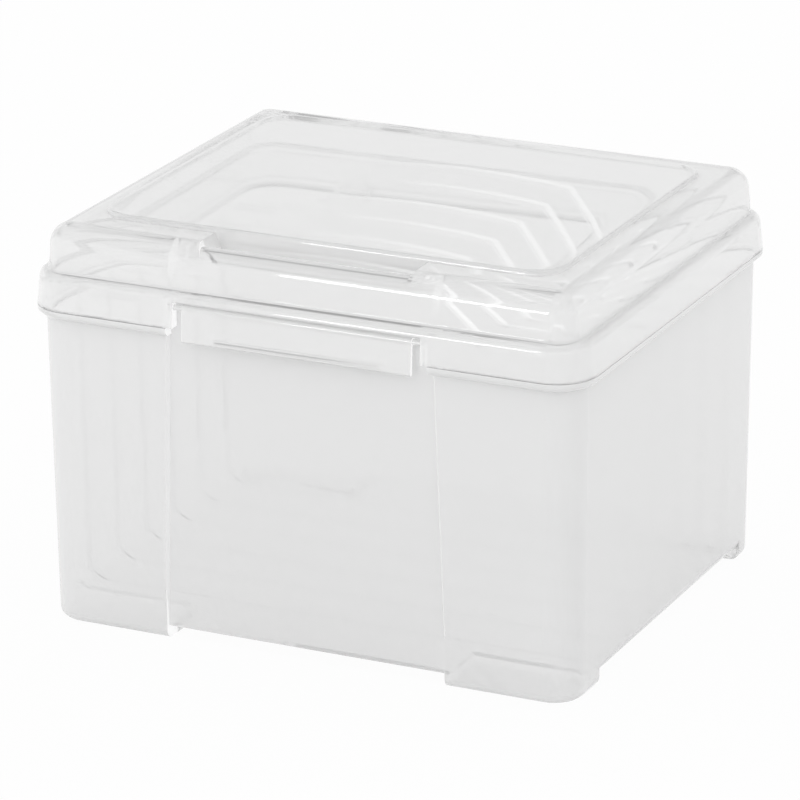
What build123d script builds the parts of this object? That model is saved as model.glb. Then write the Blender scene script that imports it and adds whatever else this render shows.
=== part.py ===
from build123d import *
import math
import os

# Clear storage case for cards: a bin with six dividers in moulded slots, a domed lid hinged
# along the back and a front latch flap. Millimetres, +Z up, the front faces -Y, and the origin
# is on the table under the middle of the case.

# Whole case
case_width = 270.0          # across the lid's skirt at its lower edge
case_depth = 226.8          # front to back across the same edge
skirt_corner = 19.0         # corner radius of the skirt's lower edge
wall = 2.0                  # moulded wall of bin and lid
body_gap = 0.3              # free space between separate pieces
running_gap = 0.06          # radial play of a moulded pin in its bore
root_depth = 0.6            # how far a moulded-on detail reaches into its carrier

# Bin
rim_reach = 4.0             # how far rim lip and skirt stand out from the bin wall
rim_z = 150.0               # top face of the rim lip
rim_height = 4.0            # height of the rim lip
rim_round = 3.4             # rounding under the lip
neck_height = 12.5          # bin wall above the lip, inside the skirt
body_draft = 0.56           # draft of the bin walls, degrees
floor = 2.5                 # floor thickness
floor_edge = 6.0            # rounding of the bottom outer edge
foot_height = 5.0
foot_edge = 4.8             # rounding of a foot's outer edge
foot_length_front = 30.0    # run of a front foot along the side wall
foot_length_back = 20.0
foot_blend = 19.0           # height over the feet to which they are built up in the wall

# Recessed middle of the bin's front, between the corner pillars
recess_depth = 1.8
recess_margin = 1.4         # free space beside the skirt's closed ends
recess_spread = 5.4         # how much wider the recess gets on each side down to the table
recess_flank = 35.0         # slope of the pillar edges, degrees

# Divider slots in the side walls
slot_count = 6
slot_pitch = 28.2
slot_rib = 1.4              # rib thickness
slot_depth = 3.0            # how far a rib stands into the bin
slot_drop = 4.0             # top of the ribs below the rim
slot_lead = 5.0             # sloped lead-in at the top of a rib

# Dividers
divider_thick = 1.6
divider_foot_corner = 9.0   # rounding of the bottom corners
divider_drop = 1.4          # shoulder beside the wall, below the rim
divider_step_x = 98.0       # middle of the small step in the shoulder
divider_step_run = 4.0
divider_step = 2.8          # rise of that step
divider_sag = 1.2           # fall of the shoulder from the step to the tab
divider_slope_foot_x = 70.0
divider_tab_half = 51.0     # half width of the raised tab
divider_tab_rise = 26.6     # ends of the tab's top over the shoulder
divider_tab_crown = 2.9     # rise of the tab's arched top
divider_round = 2.4         # rounding of the tab's corners and of the foot of its slope
divider_bead = 4.4          # width of the thickened top edge
divider_bead_height = 1.8
divider_bead_stop = 4.0     # bead ends this far short of the slot ribs

# Lid
skirt_lean = 6.0            # the skirt's face leans outwards towards its foot, degrees
ledge_height = 17.0         # flat ledge between skirt and dome, over the rim
ledge_round = 4.5           # rounding from skirt to ledge
ledge_root = 0.9            # small bevel in the corner of ledge and dome
dome_inset_x = 6.8          # dome wall inside the skirt's foot, side
dome_inset_y = 5.5          # dome wall inside the skirt's foot, front and back
dome_corner = 11.0
dome_draft = 4.0
dome_height = 20.8          # flat strip round the raised panel, over the ledge
dome_edge = 10.0            # rounding of the dome's top edge
panel_margin_x = 24.0       # raised panel inside the skirt's foot, side
panel_margin_front = 27.4
panel_margin_back = 25.4
panel_corner = 14.0
panel_rise = 2.4
panel_edge = 0.9            # bevel of the panel's top edge

# Finger scoop in the middle of the lid's front edge
scoop_half = 52.0           # half width at the strip
scoop_narrowing = 5.0       # how much narrower each side is at the scoop's floor
scoop_depth = 9.6           # floor below the strip
scoop_back_radius = 13.0    # hollow curve of the back of the scoop
scoop_back_turn = 34.0      # angle of that curve, degrees
scoop_back_drop = 1.8       # where the back wall starts to curve, below the strip
scoop_lip_drop = 2.4        # crest of the front lip below the strip
scoop_lip_radius = 7.0
scoop_lip_turn = 52.0       # angle of the lip's rounding towards the hollow, degrees

# Thin stiffening webs inside the dome's front corners
web_margin = 12.0           # web beside the scoop's end
web_thick = 1.6
web_reach = 13.0

# Front latch
skirt_gap_half = 60.0       # the skirt is open between these ends
skirt_end = 1.8             # closed end of the skirt
skirt_end_reach = 4.1       # depth of that end, from the skirt's outer face inwards
flap_end_gap = 4.5          # open gap beside each end of the flap
flap_thick = 1.8
flap_drop = 15.1            # from the pivot down to the lower edge
flap_lean = 1.0             # how far the lower edge stands forward of the barrel
flap_barrel = 1.9           # radius of the rounded top edge
flap_pin = 1.3              # radius of the pivot stubs
latch_pivot_inset = 3.1     # pivot behind the skirt's lower outer edge
latch_pivot_drop = 7.5      # pivot below the ledge
catch_margin = 13.5         # catch bead on the bin, inside the flap's ends
catch_reach = 2.5
catch_drop = 2.2            # middle of the catch bead below the rim
catch_height = 4.2
catch_flat = 1.2            # flat crest of the bead
hook_margin = 2.0           # hook bead inside the catch's ends
hook_reach = 1.0            # hook bead inside the flap
hook_height = 2.6
hook_rise = 0.6             # hook bead over the flap's lower edge

# Snap hinge at the back: clips on the lid over bars on the bin
hinge_x = 80.0
hinge_bar = 1.6             # bar radius
hinge_out = 0.9             # bar centre behind the skirt's lower edge
hinge_drop = 2.8            # bar centre below the rim lip's top
clip_width = 14.0
clip_outer = 2.7            # outer radius of clip and ears
clip_mouth = 100.0          # opening of the clip, degrees
clip_rise = 7.0             # height of the clip's root on the skirt
ear_width = 2.4
ear_gap = 0.4

# Worked-out sizes
skirt_half_x = case_width / 2
skirt_half_y = case_depth / 2
body_half_x = skirt_half_x - rim_reach
body_half_y = skirt_half_y - rim_reach
body_corner = skirt_corner - rim_reach
body_slope = math.tan(math.radians(body_draft))
floor_top = foot_height + floor
foot_blend_z = foot_height + foot_blend
neck_z = rim_z + neck_height
skirt_z = rim_z + body_gap
ledge_z = rim_z + ledge_height
dome_z = ledge_z + dome_height
panel_z = dome_z + panel_rise
panel_front_y = panel_margin_front - skirt_half_y
recess_half_top = skirt_gap_half + skirt_end + recess_margin
recess_half_foot = recess_half_top + recess_spread
recess_y = recess_depth - body_half_y
slot_top_z = rim_z - slot_drop
shoulder_z = rim_z - divider_drop
flap_half = skirt_gap_half - flap_end_gap
catch_half = flap_half - catch_margin
catch_z = rim_z - catch_drop
latch_pivot_y = latch_pivot_inset - skirt_half_y
latch_pivot_z = ledge_z - latch_pivot_drop
hinge_y = skirt_half_y + hinge_out
hinge_z = rim_z - hinge_drop
slot_ys = [(k - (slot_count - 1) / 2) * slot_pitch for k in range(slot_count)]


def half_at(half, z):
    """Half width of the drafted bin at height z, from its half width at the rim."""
    return half - (rim_z - z) * body_slope


def bevel_of(radius):
    """Length of the flat bevel that touches an arc of this radius at its middle."""
    return (2 - math.sqrt(2)) * radius


def box_between(x0, x1, y0, y1, z0, z1):
    return Pos((x0 + x1) / 2, (y0 + y1) / 2, (z0 + z1) / 2) * Box(x1 - x0, y1 - y0, z1 - z0)


def x_prism(points, x0, x1):
    """Closed outline of (y, z) points carried along X."""
    face = make_face(Polyline([(x0, y, z) for y, z in points], close=True))
    return extrude(face, amount=x1 - x0, dir=(1, 0, 0))


def x_rod(y, z, radius, x0, x1):
    return Pos((x0 + x1) / 2, y, z) * Rot(0, 90, 0) * Cylinder(radius, x1 - x0)


def body_block(low, high, inset):
    """Part of the bin's form, drawn in by inset: walls that lean out upwards, round corners."""
    down = Plane(origin=(0, 0, high), x_dir=(1, 0, 0), z_dir=(0, 0, -1))
    top = Rectangle(
        2 * (half_at(body_half_x, high) - inset), 2 * (half_at(body_half_y, high) - inset)
    )
    block = extrude(down * top, amount=high - low, taper=body_draft)
    corners = [edge for edge in block.edges() if edge.bounding_box().size.Z > (high - low) / 2]
    return fillet(corners, body_corner - inset)


def foot_columns(inset):
    """Four upright columns that mark the feet, drawn in by inset on their inner faces."""
    far = case_width
    front = -half_at(body_half_y, 0) + foot_length_front - inset
    back = half_at(body_half_y, 0) - foot_length_back + inset
    inner = recess_half_foot + inset
    columns = []
    for side in (-1, 1):
        x0, x1 = sorted((side * inner, side * far))
        columns.append(box_between(x0, x1, -far, front, -floor, foot_blend_z))
        columns.append(box_between(x0, x1, back, far, -floor, foot_blend_z))
    return columns


def front_recess(extra):
    """Slab that sets back the middle of the front wall; extra widens and deepens it."""
    drop = math.radians(body_draft)
    plane = Plane(
        origin=(0, -body_half_y, rim_z),
        x_dir=(1, 0, 0),
        z_dir=(0, -math.cos(drop), -math.sin(drop)),
    )
    over = 2 * floor_edge
    spread = recess_spread / neck_z
    top = neck_height + over
    foot = -rim_z - over
    half_top = recess_half_top - spread * over + extra
    half_foot = recess_half_foot + spread * over + extra
    outline = Polygon(
        (-half_foot, foot), (half_foot, foot), (half_top, top), (-half_top, top), align=None
    )
    face = plane.offset(-recess_depth - extra) * outline
    return extrude(face, amount=recess_depth + extra + over, taper=-recess_flank)


def slot_rib_at(side, y):
    """One upright rib inside a side wall, from the floor's rounding up, with a sloped lead-in."""
    foot_z = floor_top + floor_edge - wall
    inner_foot = half_at(body_half_x, foot_z) - wall
    inner_top = half_at(body_half_x, slot_top_z) - wall
    points = [
        (side * (inner_foot + root_depth), foot_z),
        (side * (inner_foot - slot_depth), foot_z),
        (side * (inner_top - slot_depth), slot_top_z - slot_lead),
        (side * inner_top, slot_top_z),
        (side * (inner_top + root_depth), slot_top_z),
    ]
    face = make_face(Polyline([(x, y - slot_rib / 2, z) for x, z in points], close=True))
    return extrude(face, amount=slot_rib, dir=(0, 1, 0))


def hinge_ears(x):
    """Two ears behind the rim lip with the round bar that a clip of the lid snaps over."""
    inner = clip_width / 2 + ear_gap
    reach = inner + root_depth
    parts = [x_rod(hinge_y, hinge_z, hinge_bar, x - reach, x + reach)]
    low = hinge_z - clip_outer
    for side in (-1, 1):
        x0, x1 = sorted((x + side * inner, x + side * (inner + ear_width)))
        parts.append(x_rod(hinge_y, hinge_z, clip_outer, x0, x1))
        parts.append(box_between(x0, x1, body_half_y - root_depth, hinge_y, low, hinge_z))
    return parts


def rim_lip():
    """Lip round the bin that the lid rests on, open at the front recess and at the clips."""
    lip = Plane.XY.offset(rim_z - rim_height) * RectangleRounded(
        case_width, case_depth, skirt_corner
    )
    lip = extrude(lip, amount=rim_height)
    lip = chamfer(lip.edges().group_by(Axis.Z)[0], bevel_of(rim_round))
    lip -= box_between(-recess_half_top, recess_half_top, -case_depth, 0, 0, neck_z)
    inner = clip_width / 2 + ear_gap
    free_y = hinge_y - clip_outer - 3 * body_gap
    for side in (-1, 1):
        x = side * hinge_x
        lip -= box_between(x - inner, x + inner, free_y, case_depth, 0, neck_z)
    return lip


def catch_bead():
    """Bead across the recess that the flap's hook snaps over."""
    crest = recess_y - catch_reach
    low = catch_z - catch_height / 2
    high = catch_z + catch_height / 2
    points = [
        (recess_y + root_depth, low),
        (recess_y, low),
        (crest, catch_z - catch_flat / 2),
        (crest, catch_z + catch_flat / 2),
        (recess_y, high),
        (recess_y + root_depth, high),
    ]
    return x_prism(points, -catch_half, catch_half)


def make_bin():
    high = body_block(foot_height, neck_z, 0)
    high = fillet(high.edges().group_by(Axis.Z)[0], floor_edge)
    low = body_block(0, foot_blend_z, 0)
    low = fillet(low.edges().group_by(Axis.Z)[0], foot_edge)
    shell = high - front_recess(0)
    for column in foot_columns(0):
        shell += low & column
    shell += rim_lip()

    hollow = body_block(floor_top, neck_z + wall, wall)
    hollow = chamfer(hollow.edges().group_by(Axis.Z)[0], bevel_of(floor_edge - wall))
    shell -= hollow - front_recess(wall)
    pockets = body_block(floor, foot_blend_z, wall)
    pockets = chamfer(pockets.edges().group_by(Axis.Z)[0], bevel_of(foot_edge - wall))
    for column in foot_columns(wall):
        shell -= pockets & column

    offset_y = divider_thick / 2 + body_gap + slot_rib / 2
    for y in slot_ys:
        for side in (-1, 1):
            shell += slot_rib_at(side, y - offset_y)
            shell += slot_rib_at(side, y + offset_y)
    shell += catch_bead()
    for side in (-1, 1):
        for piece in hinge_ears(side * hinge_x):
            shell += piece
    return shell


def divider_outline(bottom, half_foot, half_top):
    """Outline in X and Z of a divider: straight sides, stepped shoulders and an arched tab."""
    tab_z = shoulder_z + divider_tab_rise
    right = [
        (half_top, shoulder_z),
        (divider_step_x + divider_step_run / 2, shoulder_z),
        (divider_step_x - divider_step_run / 2, shoulder_z + divider_step),
        (divider_slope_foot_x, shoulder_z + divider_step - divider_sag),
        (divider_tab_half, tab_z),
    ]
    left = [(-x, z) for x, z in reversed(right)]
    lines = Polyline([(half_foot, bottom)] + right)
    lines += ThreePointArc(right[-1], (0, tab_z + divider_tab_crown), left[0])
    lines += Polyline(left + [(-half_foot, bottom)])
    lines += Line((-half_foot, bottom), (half_foot, bottom))
    return make_face(lines)


def make_divider(y):
    bottom = floor_top + body_gap
    half_foot = half_at(body_half_x, bottom) - wall - body_gap
    half_top = half_at(body_half_x, shoulder_z) - wall - body_gap
    outline = divider_outline(bottom, half_foot, half_top)
    outline = fillet(outline.vertices().group_by(Axis.Y)[0], divider_foot_corner)
    between = (divider_slope_foot_x + divider_step_x) / 2
    tab = [v for v in outline.vertices() if abs(v.X) < between and v.Y > shoulder_z]
    outline = fillet(tab, divider_round)
    plane = Plane(origin=(0, y, 0), x_dir=(1, 0, 0), z_dir=(0, -1, 0))
    sheet = extrude(plane * outline, amount=divider_thick / 2, both=True)
    bead = outline - offset(outline, amount=-divider_bead_height, kind=Kind.INTERSECTION)
    reach = half_top - slot_depth - divider_bead_stop
    over = 2 * (divider_tab_rise + divider_tab_crown)
    bead &= Pos(0, shoulder_z) * Rectangle(2 * reach, 2 * over)
    sheet += extrude(plane * bead, amount=divider_bead / 2, both=True)
    return sheet


def drafted_block(half_x, half_y, corner, low, high, draft):
    """Rounded rectangular block that gets narrower upwards."""
    outline = Plane.XY.offset(low) * RectangleRounded(2 * half_x, 2 * half_y, corner)
    return extrude(outline, amount=high - low, taper=draft)


def dome_block(inset, top):
    """Drafted dome of the lid, drawn in by inset."""
    rise = math.tan(math.radians(dome_draft)) * wall
    return drafted_block(
        skirt_half_x - dome_inset_x - inset + rise,
        skirt_half_y - dome_inset_y - inset + rise,
        dome_corner - inset,
        ledge_z - wall,
        top,
        dome_draft,
    )


def skirt_block(inset, low, top):
    """Skirt and ledge of the lid, drawn in by inset."""
    return drafted_block(
        skirt_half_x - inset, skirt_half_y - inset, skirt_corner - inset, low, top, skirt_lean
    )


def top_edges(shape):
    return shape.edges().group_by(Axis.Z)[-1]


def ledge_root_edges(shape):
    """Edges where the dome rises from the ledge."""
    near = body_gap / 4
    limit_x = skirt_half_x - dome_inset_x + body_gap
    limit_y = skirt_half_y - dome_inset_y + body_gap
    found = []
    for edge in shape.edges().filter_by_position(Axis.Z, ledge_z - near, ledge_z + near):
        box = edge.bounding_box()
        inside_x = max(abs(box.min.X), abs(box.max.X)) < limit_x
        inside_y = max(abs(box.min.Y), abs(box.max.Y)) < limit_y
        if inside_x and inside_y:
            found.append(edge)
    return found


def panel_block(inset, low, top):
    """Raised panel on top of the dome, drawn in by inset."""
    size_x = case_width - 2 * (panel_margin_x + inset)
    size_y = case_depth - panel_margin_front - panel_margin_back - 2 * inset
    middle = (panel_margin_front - panel_margin_back) / 2
    outline = Pos(0, middle, low) * RectangleRounded(size_x, size_y, panel_corner - inset)
    return extrude(outline, amount=top - low)


def scoop_profile():
    """Side outline of the scoop in Y and Z: back wall, hollow, lip crest and the air above."""
    above = panel_z + dome_height
    front = -case_depth
    back_z = dome_z - scoop_back_drop
    turn = math.radians(scoop_back_turn)
    centre_y = panel_front_y - scoop_back_radius
    on_back = [
        (centre_y + scoop_back_radius * math.cos(a), back_z - scoop_back_radius * math.sin(a))
        for a in (0, turn / 2, turn)
    ]
    crest_z = dome_z - scoop_lip_drop
    lip_z = crest_z - scoop_lip_radius
    lean = (lip_z - ledge_z) * math.tan(math.radians(dome_draft))
    wall_y = dome_inset_y - skirt_half_y + lean
    lip_y = wall_y + scoop_lip_radius
    turn = math.radians(scoop_lip_turn)
    lip_start = (lip_y + scoop_lip_radius * math.sin(turn), lip_z + scoop_lip_radius * math.cos(turn))
    hollow = ((on_back[-1][0] + lip_start[0]) / 2, dome_z - scoop_depth)
    lines = Polyline([(wall_y, lip_z), (front, lip_z), (front, above), (panel_front_y, above)])
    lines += Line((panel_front_y, above), on_back[0])
    lines += ThreePointArc(*on_back)
    lines += ThreePointArc(on_back[-1], hollow, lip_start)
    lines += ThreePointArc(lip_start, (lip_y, crest_z), (wall_y, lip_z))
    return make_face(lines)


def scoop_tool(extra):
    """Space of the finger scoop, grown by extra on every side."""
    profile = scoop_profile()
    if extra:
        profile = offset(profile, amount=extra)
    side_plane = Plane(origin=(0, 0, 0), x_dir=(0, 1, 0), z_dir=(1, 0, 0))
    along = extrude(side_plane * profile, amount=2 * scoop_half, both=True)
    slope = scoop_narrowing / scoop_depth
    low = dome_z - 2 * scoop_depth
    high = dome_z + scoop_depth
    half_low = scoop_half - slope * (dome_z - low) + extra
    half_high = scoop_half + slope * (high - dome_z) + extra
    front_plane = Plane(origin=(0, 0, 0), x_dir=(1, 0, 0), z_dir=(0, -1, 0))
    ends = Polygon(
        (-half_low, low), (half_low, low), (half_high, high), (-half_high, high), align=None
    )
    across = extrude(front_plane * ends, amount=case_depth)
    return along & across


def lid_clip(x):
    """Open clip on the skirt's back that snaps over a bar of the bin."""
    x0 = x - clip_width / 2
    x1 = x + clip_width / 2
    bore = hinge_bar + running_gap
    root_top = skirt_z + clip_rise
    clip = x_rod(hinge_y, hinge_z, clip_outer, x0, x1)
    clip += x_prism(
        [
            (skirt_half_y - wall + root_depth / 2, skirt_z),
            (hinge_y - clip_outer + root_depth, hinge_z + bore),
            (hinge_y, hinge_z),
            (hinge_y + clip_outer - root_depth / 2, hinge_z + bore / 2),
            (skirt_half_y - root_depth, root_top),
            (skirt_half_y - wall, root_top),
        ],
        x0,
        x1,
    )
    clip -= x_rod(hinge_y, hinge_z, bore, x0 - wall, x1 + wall)
    reach = clip_outer + wall
    spread = math.tan(math.radians(clip_mouth / 2)) * reach
    clip -= x_prism(
        [
            (hinge_y, hinge_z),
            (hinge_y - spread, hinge_z - reach),
            (hinge_y + spread, hinge_z - reach),
        ],
        x0 - wall,
        x1 + wall,
    )
    return clip


def stiffening_web(x):
    """Thin upright web in the corner between the dome's front wall and its top."""
    dome_front = dome_inset_y - skirt_half_y
    points = [
        (dome_front, ledge_z - wall / 2),
        (dome_front - wall, dome_z),
        (dome_front + web_reach, dome_z),
    ]
    return x_prism(points, x - web_thick / 2, x + web_thick / 2)


def make_lid():
    dome = fillet(top_edges(dome_block(0, dome_z)), dome_edge)
    skirt = fillet(top_edges(skirt_block(0, skirt_z, ledge_z)), ledge_round)
    outer = skirt + dome
    outer = chamfer(ledge_root_edges(outer), ledge_root)
    outer += panel_block(0, dome_z - wall, panel_z)
    outer -= scoop_tool(0)
    outer = chamfer(top_edges(outer), panel_edge)

    inner_skirt = skirt_block(wall, skirt_z - wall, ledge_z - wall)
    inner = chamfer(top_edges(inner_skirt), bevel_of(ledge_round - wall))
    inner_dome = dome_block(wall, dome_z - wall)
    inner += chamfer(top_edges(inner_dome), bevel_of(dome_edge - wall))
    inner += panel_block(wall, dome_z - 2 * wall, panel_z - wall)
    inner -= scoop_tool(wall)
    shell = outer - inner

    front_y = -skirt_half_y
    end_y = front_y + skirt_end_reach
    for side in (-1, 1):
        x0, x1 = sorted((side * skirt_gap_half, side * (skirt_gap_half + skirt_end)))
        end = box_between(x0, x1, front_y, end_y + wall / 2, skirt_z, ledge_z - wall / 2)
        shell += end & skirt
    shell -= box_between(
        -skirt_gap_half, skirt_gap_half, front_y - wall, end_y + wall,
        skirt_z - wall, latch_pivot_z + flap_barrel + 2 * body_gap,
    )
    reach = skirt_gap_half + skirt_end + wall / 2
    shell -= x_rod(latch_pivot_y, latch_pivot_z, flap_pin + running_gap, -reach, reach)
    for side in (-1, 1):
        shell += stiffening_web(side * (scoop_half + web_margin)) & dome
        shell += lid_clip(side * hinge_x)
    return shell


def make_latch():
    """Flap under the ledge: rounded top edge with two pivot stubs and a hook bead inside."""
    low_z = latch_pivot_z - flap_drop
    out_top = latch_pivot_y - flap_barrel
    out_low = out_top - flap_lean
    inner_low = out_low + flap_thick
    flap = x_rod(latch_pivot_y, latch_pivot_z, flap_barrel, -flap_half, flap_half)
    plate = [
        (out_top, latch_pivot_z),
        (out_low, low_z),
        (inner_low, low_z),
        (out_top + flap_thick, latch_pivot_z),
    ]
    plate = x_prism(plate, -flap_half, flap_half)
    foot_edges = plate.edges().filter_by(Axis.X).group_by(Axis.Z)[0]
    flap += fillet(foot_edges, 0.45 * flap_thick)
    hook_low = low_z + hook_rise
    hook = [
        (inner_low - root_depth, hook_low + hook_height),
        (inner_low, hook_low + hook_height),
        (inner_low + hook_reach, hook_low + hook_height / 2),
        (inner_low, hook_low),
        (inner_low - root_depth, hook_low),
    ]
    flap += x_prism(hook, hook_margin - catch_half, catch_half - hook_margin)
    stub = skirt_gap_half + skirt_end
    flap += x_rod(latch_pivot_y, latch_pivot_z, flap_pin, -stub, stub)
    return flap


pieces = {"bin": make_bin(), "lid": make_lid(), "front_latch": make_latch()}
for number, slot_y in enumerate(slot_ys, start=1):
    pieces[f"divider_{number}"] = make_divider(slot_y)

os.makedirs("parts", exist_ok=True)
for name, shape in pieces.items():
    solids = shape.solids()
    whole = solids[0] if len(solids) == 1 else Compound(children=solids)
    export_step(whole, f"parts/{name}.step")
    box = whole.bounding_box()
    print(name, len(solids), round(whole.volume), box.min, box.max)
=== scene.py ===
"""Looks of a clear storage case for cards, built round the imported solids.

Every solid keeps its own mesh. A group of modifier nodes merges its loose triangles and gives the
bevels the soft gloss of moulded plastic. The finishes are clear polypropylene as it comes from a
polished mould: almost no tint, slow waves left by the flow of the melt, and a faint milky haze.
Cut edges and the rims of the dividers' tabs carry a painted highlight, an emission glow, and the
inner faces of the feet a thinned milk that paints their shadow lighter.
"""

import math

import bpy
import numpy as np
from bpy.props import FloatProperty, FloatVectorProperty, PointerProperty
from mathutils import Matrix, Vector

bl_info = {
    "name": "Clear card storage case",
    "version": (1, 0, 0),
    "blender": (4, 5, 0),
    "location": "3D View > Sidebar > Case",
    "description": "Finishes and studio of a clear moulded case with a hinged lid and dividers",
    "category": "Object",
}

MM = 0.001
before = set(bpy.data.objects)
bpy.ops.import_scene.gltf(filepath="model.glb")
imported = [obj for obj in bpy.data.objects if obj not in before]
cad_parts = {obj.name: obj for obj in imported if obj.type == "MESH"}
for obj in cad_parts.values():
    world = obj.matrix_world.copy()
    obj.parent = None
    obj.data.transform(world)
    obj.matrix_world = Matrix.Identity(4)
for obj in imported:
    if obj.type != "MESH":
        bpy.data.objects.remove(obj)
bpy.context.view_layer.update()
DIVIDERS = sorted(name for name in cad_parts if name.startswith("divider_"))

# The camera's place and turn, worked out from the outline of the case in the photograph
CAMERA_PLACE_MM = (910.05, -1917.92, 841.49)
CAMERA_AZIMUTH = 25.465
CAMERA_ELEVATION = 19.509
CAMERA_ROLL = -0.456
CAMERA_LENS_MM = 221.8
CAMERA_SENSOR_MM = 36.0
CAMERA_REACH = 50

# The softbox at the front left and the floor, in metres
SOFTBOX_SIDES = (0.22, 0.3)
SOFTBOX_AIM = (0, -0.1, 0.18)
SOFTBOX_AWAY = (-0.378, -0.925, 0.04)
SOFTBOX_DISTANCE = 1.8
FLOOR_RADIUS = 6.0
FLOOR_RINGS = 24
FLOOR_SPOKES = 96

# Where the surroundings darken, from the backdrop's top: in gloss, and through the plastic
GLOSS_BAND = (-0.04, 0.04)
THROUGH_BAND = (-0.1, 0.18)

# Light zigzags hundreds of times inside a wall that is seen edge on
LIGHT_PATH = 1024

SOFT_EDGES = "soft_moulded_edges"

# Refractive index of polypropylene
PLASTIC_INDEX = 1.49

# The haze: its length in flow waves, how far the roughness swings, and most of the noise's range
HAZE_WAVES = 3
HAZE_SWING = 0.4
NOISE_RANGE = (0.3, 0.7)

# Pairs of where a share of the painted highlight, an emission glow on cut edges, starts and where
# it is full. On the tabs: how little a face turns to the front, its height and its place to the
# right, with the share that is left on the left.
RIM_TURN = (0.9, 0.5)
RIM_HEIGHT = (148 * MM, 152 * MM)
RIM_RIGHT = (-35 * MM, 50 * MM)
RIM_LEFT_SHARE = 0.25

# On the bin and lid, for the same painted highlight: how far a face turns to the side, its depth and
# its distance from the middle
SIDE_TURN = (0.7, 0.95)
SIDE_DEPTH = (-97 * MM, -99 * MM)
SIDE_MIDDLE = (74 * MM, 72 * MM)

# On the feet, where thinner milk paints their shadow lighter: how far a face points to the middle of
# the case, and the top of the feet
FOOT_INWARD = (-20 * MM, -5 * MM)
FOOT_TOP = (5 * MM, 6 * MM)


def linear(hex_colour):
    """An sRGB hex colour as linear red, green, blue and alpha 1."""
    values = [int(hex_colour[i:i + 2], 16) / 255 for i in (0, 2, 4)]
    return [v / 12.92 if v <= 0.04045 else ((v + 0.055) / 1.055) ** 2.4 for v in values] + [1.0]


def node(tree, kind, settings=None, **links):
    """Adds a node. settings holds attributes and, by name or number, socket values; links names
    the input sockets, spaces as underscores, and gives the outputs that feed them."""
    made = tree.nodes.new(kind)
    for key, value in (settings or {}).items():
        if isinstance(key, str) and hasattr(made, key):
            setattr(made, key, value)
        else:
            made.inputs[key].default_value = value
    for key, output in links.items():
        socket = made.inputs[int(key[1:])] if key[1:].isdigit() else made.inputs[key.replace("_", " ")]
        tree.links.new(output, socket)
    return made


class CaseSizes(bpy.types.PropertyGroup):
    """Sizes that the finish of the solids uses."""

    merge: FloatProperty(
        name="Merge distance",
        description="Corners of loose triangles nearer than this are one corner",
        default=0.004 * MM, unit="LENGTH", precision=6,
    )
    soft_angle: FloatProperty(
        name="Soft angle",
        description="Edges that turn by less than this shade as one rounded surface",
        default=math.radians(50), subtype="ANGLE",
    )


class PlasticFinish(bpy.types.PropertyGroup):
    """Colours and surface of the clear plastic."""

    case_colour: FloatVectorProperty(
        name="Bin and lid colour",
        description="What one wall of the bin or lid lets through",
        subtype="COLOR", size=4, min=0, max=1, default=linear("FCFCFC"),
    )
    divider_colour: FloatVectorProperty(
        name="Divider colour",
        description="What one divider lets through",
        subtype="COLOR", size=4, min=0, max=1, default=linear("FDFDFD"),
    )
    milk_colour: FloatVectorProperty(
        name="Milk colour",
        description="Colour of the light that the plastic scatters back",
        subtype="COLOR", size=4, min=0, max=1, default=linear("F8F8F8"),
    )
    bin_milk: FloatProperty(
        name="Milk of the bin", description="Share of the view that the scattered light veils",
        default=0.76, min=0, max=1,
    )
    lid_milk: FloatProperty(
        name="Milk of the lid", description="The same on the thinner lid and latch",
        default=0.48, min=0, max=1,
    )
    # Painted light: thinner milk on the inner faces of the feet, which stand in the case's shadow, so
    # their shade shows lighter
    milk_left_in_foot_shadow: FloatProperty(
        name="Milk under the case",
        description="Share of the bin's milk that is left on the inner faces of the feet",
        default=0.4, min=0, max=1,
    )
    divider_index: FloatProperty(
        name="Bending in dividers",
        description="Refractive index of the thin sheets, low so that their edges stay faint",
        default=1.3, min=1, max=2,
    )
    roughness: FloatProperty(
        name="Roughness", description="Roughness of the mould-polished skin",
        default=0.02, min=0, max=1,
    )
    # Painted highlight: share of an emission glow mixed in at cut edges
    painted_edge_glow: FloatProperty(
        name="Edge glow", description="How much of the guided light shows at cut edges",
        default=0.8, min=0, max=1,
    )
    # Painted highlight: strength of the emission glow on the rims of the tabs
    painted_tab_rim_glow: FloatProperty(
        name="Tab rims", description="Brightness of the guided light at the rims of the tabs",
        default=1.22, min=0,
    )
    flow_length: FloatProperty(
        name="Flow wave length", description="Length of the slow waves that the melt leaves",
        default=38 * MM, unit="LENGTH",
    )
    flow_height: FloatProperty(
        name="Flow wave height", description="Height of those waves",
        default=0.05 * MM, unit="LENGTH", precision=6,
    )


class StudioLook(bpy.types.PropertyGroup):
    """Lamps and surroundings."""

    softbox_power: FloatProperty(
        name="Softbox", description="Power of the low softbox at the front left",
        default=2.0, min=0, unit="POWER",
    )
    backdrop_top: FloatProperty(
        name="Top of the backdrop", description="Height of the backdrop's top, 1 is overhead",
        default=0.42, min=0, max=1,
    )
    ceiling: FloatProperty(
        name="Ceiling", description="Brightness of the studio's ceiling in gloss",
        default=0.25, min=0,
    )
    ceiling_through: FloatProperty(
        name="Ceiling through plastic",
        description="Brightness of the ceiling where the plastic's edges bend the view up to it",
        default=0.1, min=0,
    )
    floor_glow: FloatProperty(
        name="Paper whiteness", description="Share of the floor's white that shadows don't reach",
        default=0.97, min=0, max=1,
    )


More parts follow.
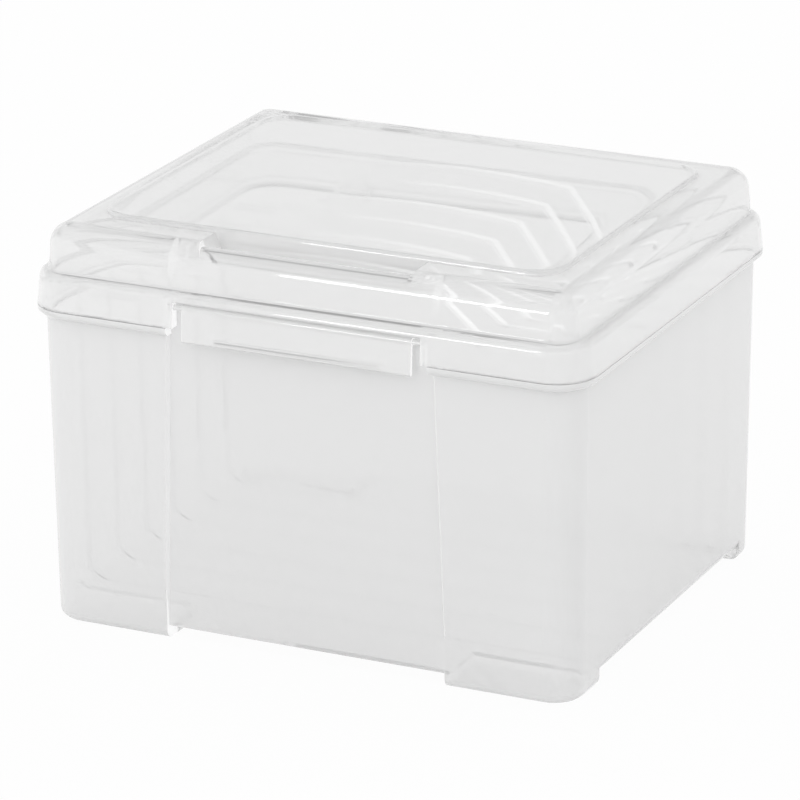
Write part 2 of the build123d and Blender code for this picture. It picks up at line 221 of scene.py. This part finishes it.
def shading_group(name, merge, soft_angle):
    """Modifier nodes that merge a solid's loose triangles and shade its soft edges smooth."""
    tree = bpy.data.node_groups.new(name, "GeometryNodeTree")
    tree.interface.new_socket("Geometry", in_out="INPUT", socket_type="NodeSocketGeometry")
    tree.interface.new_socket("Geometry", in_out="OUTPUT", socket_type="NodeSocketGeometry")
    entry = node(tree, "NodeGroupInput")
    whole = node(
        tree, "GeometryNodeMergeByDistance", {"Distance": merge}, Geometry=entry.outputs[0]
    )
    faces = node(
        tree, "GeometryNodeSetShadeSmooth", {"domain": "FACE", "Shade Smooth": True},
        Geometry=whole.outputs[0],
    )
    angle = node(tree, "GeometryNodeInputMeshEdgeAngle")
    soft = node(
        tree, "FunctionNodeCompare", {"data_type": "FLOAT", "operation": "LESS_THAN", 1: soft_angle},
        i0=angle.outputs[0],
    )
    edges = node(
        tree, "GeometryNodeSetShadeSmooth", {"domain": "EDGE"},
        Geometry=faces.outputs[0], Shade_Smooth=soft.outputs[0],
    )
    out = node(tree, "NodeGroupOutput")
    tree.links.new(edges.outputs[0], out.inputs[0])
    return tree


def soften(solid):
    """Adds the shading nodes and face-weighted normals to one solid."""
    sizes = bpy.context.scene.case_sizes
    tree = bpy.data.node_groups.get(SOFT_EDGES)
    tree = tree or shading_group(SOFT_EDGES, sizes.merge, sizes.soft_angle)
    modifier = solid.modifiers.new(SOFT_EDGES, "NODES")
    modifier.node_group = tree
    weighted = solid.modifiers.new("flat_faces_stay_flat", "WEIGHTED_NORMAL")
    weighted.keep_sharp = True


def painted_edge_highlight_share(tree, place, sheet):
    """Share of a face's look that is a painted highlight: an emission glow that stands in for light
    guided in the wall, which would leave at cut edges as pale lines. It falls on the rims of the
    dividers' tabs, strongest on the right, or on the bin and lid on the narrow sides of the
    recess, the latch gap and the webs."""
    turn = node(
        tree, "ShaderNodeVectorMath", {"operation": "ABSOLUTE"}, i0=place.outputs["Normal"]
    )
    turn = node(tree, "ShaderNodeSeparateXYZ", i0=turn.outputs[0])
    where = node(tree, "ShaderNodeSeparateXYZ", i0=place.outputs["Object"])
    away = node(tree, "ShaderNodeMath", {"operation": "ABSOLUTE"}, i0=where.outputs["X"])
    if sheet:
        limits = [
            (turn.outputs["Y"], RIM_TURN, 0.0),
            (where.outputs["Z"], RIM_HEIGHT, 0.0),
            (where.outputs["X"], RIM_RIGHT, RIM_LEFT_SHARE),
        ]
    else:
        limits = [
            (turn.outputs["X"], SIDE_TURN, 0.0),
            (where.outputs["Y"], SIDE_DEPTH, 0.0),
            (away.outputs[0], SIDE_MIDDLE, 0.0),
        ]
    first, *others = [
        node(
            tree, "ShaderNodeMapRange",
            {"From Min": start, "From Max": full, "To Min": least, "To Max": 1.0}, Value=value,
        )
        for value, (start, full), least in limits
    ]
    glow = bpy.context.scene.plastic_finish.painted_edge_glow
    share = node(
        tree, "ShaderNodeMath", {"operation": "MULTIPLY", 1: glow}, i0=first.outputs["Result"]
    )
    for other in others:
        share = node(
            tree, "ShaderNodeMath", {"operation": "MULTIPLY"},
            i0=share.outputs[0], i1=other.outputs["Result"],
        )
    return share.outputs[0]


def milk_thinned_in_shadow(tree, place):
    """Share of the milk that shows: all of it, but less on the inner faces of the feet, which
    point to the middle of the case and stand in its shadow. This paints their shade lighter: the
    eye sees pale paper there through the glass."""
    outward = node(
        tree, "ShaderNodeVectorMath", {"operation": "DOT_PRODUCT"},
        i0=place.outputs["Normal"], i1=place.outputs["Object"],
    )
    outward = node(
        tree, "ShaderNodeMapRange",
        {"From Min": FOOT_INWARD[0], "From Max": FOOT_INWARD[1],
         "To Min": bpy.context.scene.plastic_finish.milk_left_in_foot_shadow, "To Max": 1.0},
        Value=outward.outputs["Value"],
    )
    where = node(tree, "ShaderNodeSeparateXYZ", i0=place.outputs["Object"])
    above = node(
        tree, "ShaderNodeMapRange", {"From Min": FOOT_TOP[0], "From Max": FOOT_TOP[1]},
        Value=where.outputs["Z"],
    )
    lit = node(
        tree, "ShaderNodeMath", {"operation": "MAXIMUM"},
        i0=outward.outputs["Result"], i1=above.outputs["Result"],
    )
    return lit.outputs[0]


def clear_plastic(name, colour, milk, index=PLASTIC_INDEX, sheet=False):
    """Clear injection-moulded polypropylene. The eye gets sharp gloss from the polished mould,
    slow waves from the flow of the melt, and a faint milky veil from the wall that it looks at,
    which hides part of what stands behind it. Cut edges get a painted highlight, an emission
    glow, and the milk is thinned where the feet stand in shadow, which paints that shade
    lighter. sheet is true for the dividers, whose tabs get painted highlight rims."""
    finish = bpy.context.scene.plastic_finish
    material = bpy.data.materials.new(name)
    material.use_nodes = True
    tree = material.node_tree
    tree.nodes.clear()
    place = node(tree, "ShaderNodeTexCoord")
    waves = node(
        tree, "ShaderNodeTexNoise", {"Scale": 1 / finish.flow_length, "Detail": 1.5},
        Vector=place.outputs["Object"],
    )
    bump = node(
        tree, "ShaderNodeBump", {"Strength": 1.0, "Distance": finish.flow_height},
        Height=waves.outputs["Fac"],
    )
    cloud = node(
        tree, "ShaderNodeTexNoise", {"Scale": 1 / (HAZE_WAVES * finish.flow_length), "Detail": 3.0},
        Vector=place.outputs["Object"],
    )
    rough = node(
        tree, "ShaderNodeMapRange",
        {"From Min": NOISE_RANGE[0], "From Max": NOISE_RANGE[1],
         "To Min": finish.roughness * (1 - HAZE_SWING),
         "To Max": finish.roughness * (1 + HAZE_SWING)},
        Value=cloud.outputs["Fac"],
    )
    glass = node(
        tree, "ShaderNodeBsdfPrincipled",
        {"Base Color": colour, "Transmission Weight": 1.0, "IOR": index},
        Roughness=rough.outputs["Result"], Normal=bump.outputs["Normal"],
    )
    veil = node(
        tree, "ShaderNodeBsdfPrincipled",
        {"Base Color": finish.milk_colour, "IOR": PLASTIC_INDEX},
        Roughness=rough.outputs["Result"], Normal=bump.outputs["Normal"],
    )
    path = node(tree, "ShaderNodeLightPath")
    share = node(
        tree, "ShaderNodeMath", {"operation": "MULTIPLY", 1: milk},
        i0=path.outputs["Is Camera Ray"],
    )
    share = node(
        tree, "ShaderNodeMath", {"operation": "MULTIPLY"},
        i0=share.outputs[0], i1=milk_thinned_in_shadow(tree, place),
    )
    mixed = node(
        tree, "ShaderNodeMixShader", i0=share.outputs[0], i1=glass.outputs[0], i2=veil.outputs[0]
    )
    # Painted highlight: an emission glow mixed in at cut edges and tab rims, where there is no lamp
    glow = node(
        tree, "ShaderNodeEmission", {"Strength": finish.painted_tab_rim_glow if sheet else 1.0}
    )
    edged = node(
        tree, "ShaderNodeMixShader",
        i0=painted_edge_highlight_share(tree, place, sheet), i1=mixed.outputs[0], i2=glow.outputs[0],
    )
    out = node(tree, "ShaderNodeOutputMaterial")
    tree.links.new(edged.outputs[0], out.inputs["Surface"])
    return material


def dress(names, material):
    """Gives solids their material and soft edges."""
    for name in names:
        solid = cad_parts[name]
        solid.data.materials.clear()
        solid.data.materials.append(material)
        soften(solid)


class CASE_OT_bin(bpy.types.Operator):
    """Finishes the bin"""

    bl_idname = "case.bin"
    bl_label = "Bin"

    def execute(self, context):
        finish = context.scene.plastic_finish
        dress(["bin"], clear_plastic("moulded_clear_bin", finish.case_colour, finish.bin_milk))
        return {"FINISHED"}


class CASE_OT_lid(bpy.types.Operator):
    """Finishes the lid"""

    bl_idname = "case.lid"
    bl_label = "Lid"

    def execute(self, context):
        finish = context.scene.plastic_finish
        dress(["lid"], clear_plastic("moulded_clear_lid", finish.case_colour, finish.lid_milk))
        return {"FINISHED"}


class CASE_OT_latch(bpy.types.Operator):
    """Finishes the front latch flap"""

    bl_idname = "case.latch"
    bl_label = "Front latch"

    def execute(self, context):
        finish = context.scene.plastic_finish
        material = clear_plastic("moulded_clear_latch", finish.case_colour, finish.lid_milk)
        dress(["front_latch"], material)
        return {"FINISHED"}


class CASE_OT_dividers(bpy.types.Operator):
    """Finishes the dividers"""

    bl_idname = "case.dividers"
    bl_label = "Dividers"

    def execute(self, context):
        finish = context.scene.plastic_finish
        material = clear_plastic(
            "moulded_clear_divider", finish.divider_colour, finish.bin_milk, finish.divider_index,
            sheet=True,
        )
        dress(DIVIDERS, material)
        return {"FINISHED"}


def camera_turn():
    """Camera axes as columns: the roll turns right and up about the line of sight."""
    azimuth = math.radians(CAMERA_AZIMUTH)
    elevation = math.radians(CAMERA_ELEVATION)
    roll = math.radians(CAMERA_ROLL)
    back = Vector((
        math.sin(azimuth) * math.cos(elevation),
        -math.cos(azimuth) * math.cos(elevation),
        math.sin(elevation),
    ))
    right = Vector((math.cos(azimuth), math.sin(azimuth), 0))
    up = back.cross(right)
    across = right * math.cos(roll) + up * math.sin(roll)
    above = up * math.cos(roll) - right * math.sin(roll)
    return Matrix((across, above, back)).transposed()


def surroundings(look):
    """Even soft light all round. In gloss the white backdrop ends a little above the horizon, and
    over it is the dim ceiling of the studio. Through the plastic it fades in higher up, so only
    the edges that bend the view far show it, as thin grey outlines."""
    world = bpy.data.worlds.new("studio_air")
    bpy.context.scene.world = world
    world.use_nodes = True
    tree = world.node_tree
    tree.nodes.clear()
    place = node(tree, "ShaderNodeTexCoord")
    axes = node(tree, "ShaderNodeSeparateXYZ", Vector=place.outputs["Generated"])
    glossy = node(
        tree, "ShaderNodeMapRange",
        {"interpolation_type": "SMOOTHSTEP", "From Min": look.backdrop_top + GLOSS_BAND[0],
         "From Max": look.backdrop_top + GLOSS_BAND[1], "To Min": 1.0, "To Max": look.ceiling},
        Value=axes.outputs["Z"],
    )
    path = node(tree, "ShaderNodeLightPath")
    mirrored = node(
        tree, "ShaderNodeMath", {"operation": "MULTIPLY"},
        i0=path.outputs["Is Glossy Ray"], i1=path.outputs["Is Reflection Ray"],
    )
    through = node(
        tree, "ShaderNodeMapRange",
        {"interpolation_type": "SMOOTHSTEP", "From Min": look.backdrop_top + THROUGH_BAND[0],
         "From Max": look.backdrop_top + THROUGH_BAND[1], "To Min": 1.0,
         "To Max": look.ceiling_through},
        Value=axes.outputs["Z"],
    )
    bent = node(
        tree, "ShaderNodeMix", {"data_type": "FLOAT", 2: 1.0},
        i0=path.outputs["Is Transmission Ray"], i3=through.outputs["Result"],
    )
    seen = node(
        tree, "ShaderNodeMix", {"data_type": "FLOAT"},
        i0=mirrored.outputs[0], i2=bent.outputs[0], i3=glossy.outputs["Result"],
    )
    air = node(tree, "ShaderNodeBackground", Strength=seen.outputs[0])
    out = node(tree, "ShaderNodeOutputWorld")
    tree.links.new(air.outputs[0], out.inputs["Surface"])


def floor_disc(radius, rings, spokes):
    """Flat disc: points at radius * u**2 along each ray, at angle 2*pi*v; u is the share of the
    way out and v the share of a turn. The rim of the first ring closes on one middle point."""
    u = (np.arange(1, rings + 1) / rings) ** 2
    v = np.arange(spokes) / spokes * 2 * math.pi
    x = radius * u[:, None] * np.cos(v)[None, :]
    y = radius * u[:, None] * np.sin(v)[None, :]
    points = np.stack([x, y, np.zeros_like(x)], -1).reshape(-1, 3)
    points = np.vstack([points, [[0, 0, 0]]])
    ring = np.arange(rings - 1)[:, None] * spokes
    spoke = np.arange(spokes)[None, :]
    after = (spoke + 1) % spokes
    quads = np.stack(
        [ring + spoke, ring + spokes + spoke, ring + spokes + after, ring + after], -1
    ).reshape(-1, 4)
    last = len(points) - 1
    cap = np.stack([np.full(spokes, last), spoke[0], after[0]], -1)
    mesh = bpy.data.meshes.new("floor")
    mesh.from_pydata(points.tolist(), [], quads.tolist() + cap.tolist())
    mesh.validate()
    return mesh


def studio_paper(look):
    """Matt white paper. The camera, gloss and the plastic see its plain white, with the last few
    hundredths left to the lit paper, so the eye gets a faint shadow under the case."""
    material = bpy.data.materials.new("white_studio_paper")
    material.use_nodes = True
    tree = material.node_tree
    tree.nodes.clear()
    matt = node(tree, "ShaderNodeBsdfDiffuse", {"Color": linear("F4F4F4")})
    white = node(tree, "ShaderNodeEmission", {"Strength": 1.0})
    path = node(tree, "ShaderNodeLightPath")
    seen = path.outputs["Is Camera Ray"]
    for ray in ("Is Glossy Ray", "Is Transmission Ray"):
        either = node(
            tree, "ShaderNodeMath", {"operation": "MAXIMUM"}, i0=seen, i1=path.outputs[ray]
        )
        seen = either.outputs[0]
    share = node(tree, "ShaderNodeMath", {"operation": "MULTIPLY", 1: look.floor_glow}, i0=seen)
    mixed = node(
        tree, "ShaderNodeMixShader", i0=share.outputs[0], i1=matt.outputs[0], i2=white.outputs[0]
    )
    out = node(tree, "ShaderNodeOutputMaterial")
    tree.links.new(mixed.outputs[0], out.inputs["Surface"])
    return material


def low_softbox(look):
    """The lamp that draws the white line along the front of the lid's dome."""
    lamp = bpy.data.lights.new("low_softbox", "AREA")
    lamp.shape = "RECTANGLE"
    lamp.size, lamp.size_y = SOFTBOX_SIDES
    lamp.energy = look.softbox_power
    softbox = bpy.data.objects.new("low_softbox", lamp)
    away = Vector(SOFTBOX_AWAY).normalized()
    softbox.location = Vector(SOFTBOX_AIM) + away * SOFTBOX_DISTANCE
    softbox.rotation_euler = away.to_track_quat("Z", "Y").to_euler()
    # The milky walls swallow its image before it comes back from their inner faces
    softbox.visible_transmission = False
    return softbox


def photo_camera():
    """The camera at the photograph's place, turn and lens."""
    eye = bpy.data.cameras.new("camera")
    eye.lens = CAMERA_LENS_MM
    eye.sensor_width = CAMERA_SENSOR_MM
    eye.clip_end = CAMERA_REACH
    camera = bpy.data.objects.new("camera", eye)
    place = Vector(CAMERA_PLACE_MM) * MM
    camera.matrix_world = Matrix.Translation(place) @ camera_turn().to_4x4()
    return camera


class CASE_OT_stage(bpy.types.Operator):
    """Makes the floor, the light and the camera"""

    bl_idname = "case.stage"
    bl_label = "Stage"

    def execute(self, context):
        scene = context.scene
        look = scene.studio_look
        surroundings(look)

        disc = floor_disc(FLOOR_RADIUS, FLOOR_RINGS, FLOOR_SPOKES)
        floor = bpy.data.objects.new("floor", disc)
        scene.collection.objects.link(floor)
        floor.data.materials.append(studio_paper(look))

        scene.collection.objects.link(low_softbox(look))
        camera = photo_camera()
        scene.collection.objects.link(camera)
        scene.camera = camera

        scene.view_settings.view_transform = "Standard"
        scene.cycles.max_bounces = LIGHT_PATH
        scene.cycles.transmission_bounces = LIGHT_PATH
        scene.cycles.glossy_bounces = LIGHT_PATH
        return {"FINISHED"}


class CASE_PT_panel(bpy.types.Panel):
    """Lists the pieces of the case"""

    bl_idname = "CASE_PT_panel"
    bl_label = "Card storage case"
    bl_space_type = "VIEW_3D"
    bl_region_type = "UI"
    bl_category = "Case"

    def draw(self, context):
        layout = self.layout
        scene = context.scene
        for group in (scene.case_sizes, scene.plastic_finish, scene.studio_look):
            box = layout.box()
            for name in type(group).__annotations__:
                box.prop(group, name)
        for operator in OPERATORS:
            layout.operator(operator.bl_idname)


OPERATORS = (CASE_OT_bin, CASE_OT_lid, CASE_OT_latch, CASE_OT_dividers, CASE_OT_stage)
GROUPS = {"case_sizes": CaseSizes, "plastic_finish": PlasticFinish, "studio_look": StudioLook}


def register():
    for kind in (*GROUPS.values(), *OPERATORS, CASE_PT_panel):
        bpy.utils.register_class(kind)
    for name, kind in GROUPS.items():
        setattr(bpy.types.Scene, name, PointerProperty(type=kind))


def unregister():
    for name in GROUPS:
        delattr(bpy.types.Scene, name)
    for kind in (CASE_PT_panel, *reversed(OPERATORS), *reversed(GROUPS.values())):
        bpy.utils.unregister_class(kind)


def main():
    """Dresses the case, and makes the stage."""
    register()
    bpy.ops.case.bin()
    bpy.ops.case.lid()
    bpy.ops.case.latch()
    bpy.ops.case.dividers()
    bpy.ops.case.stage()


if __name__ == "__main__":
    main()
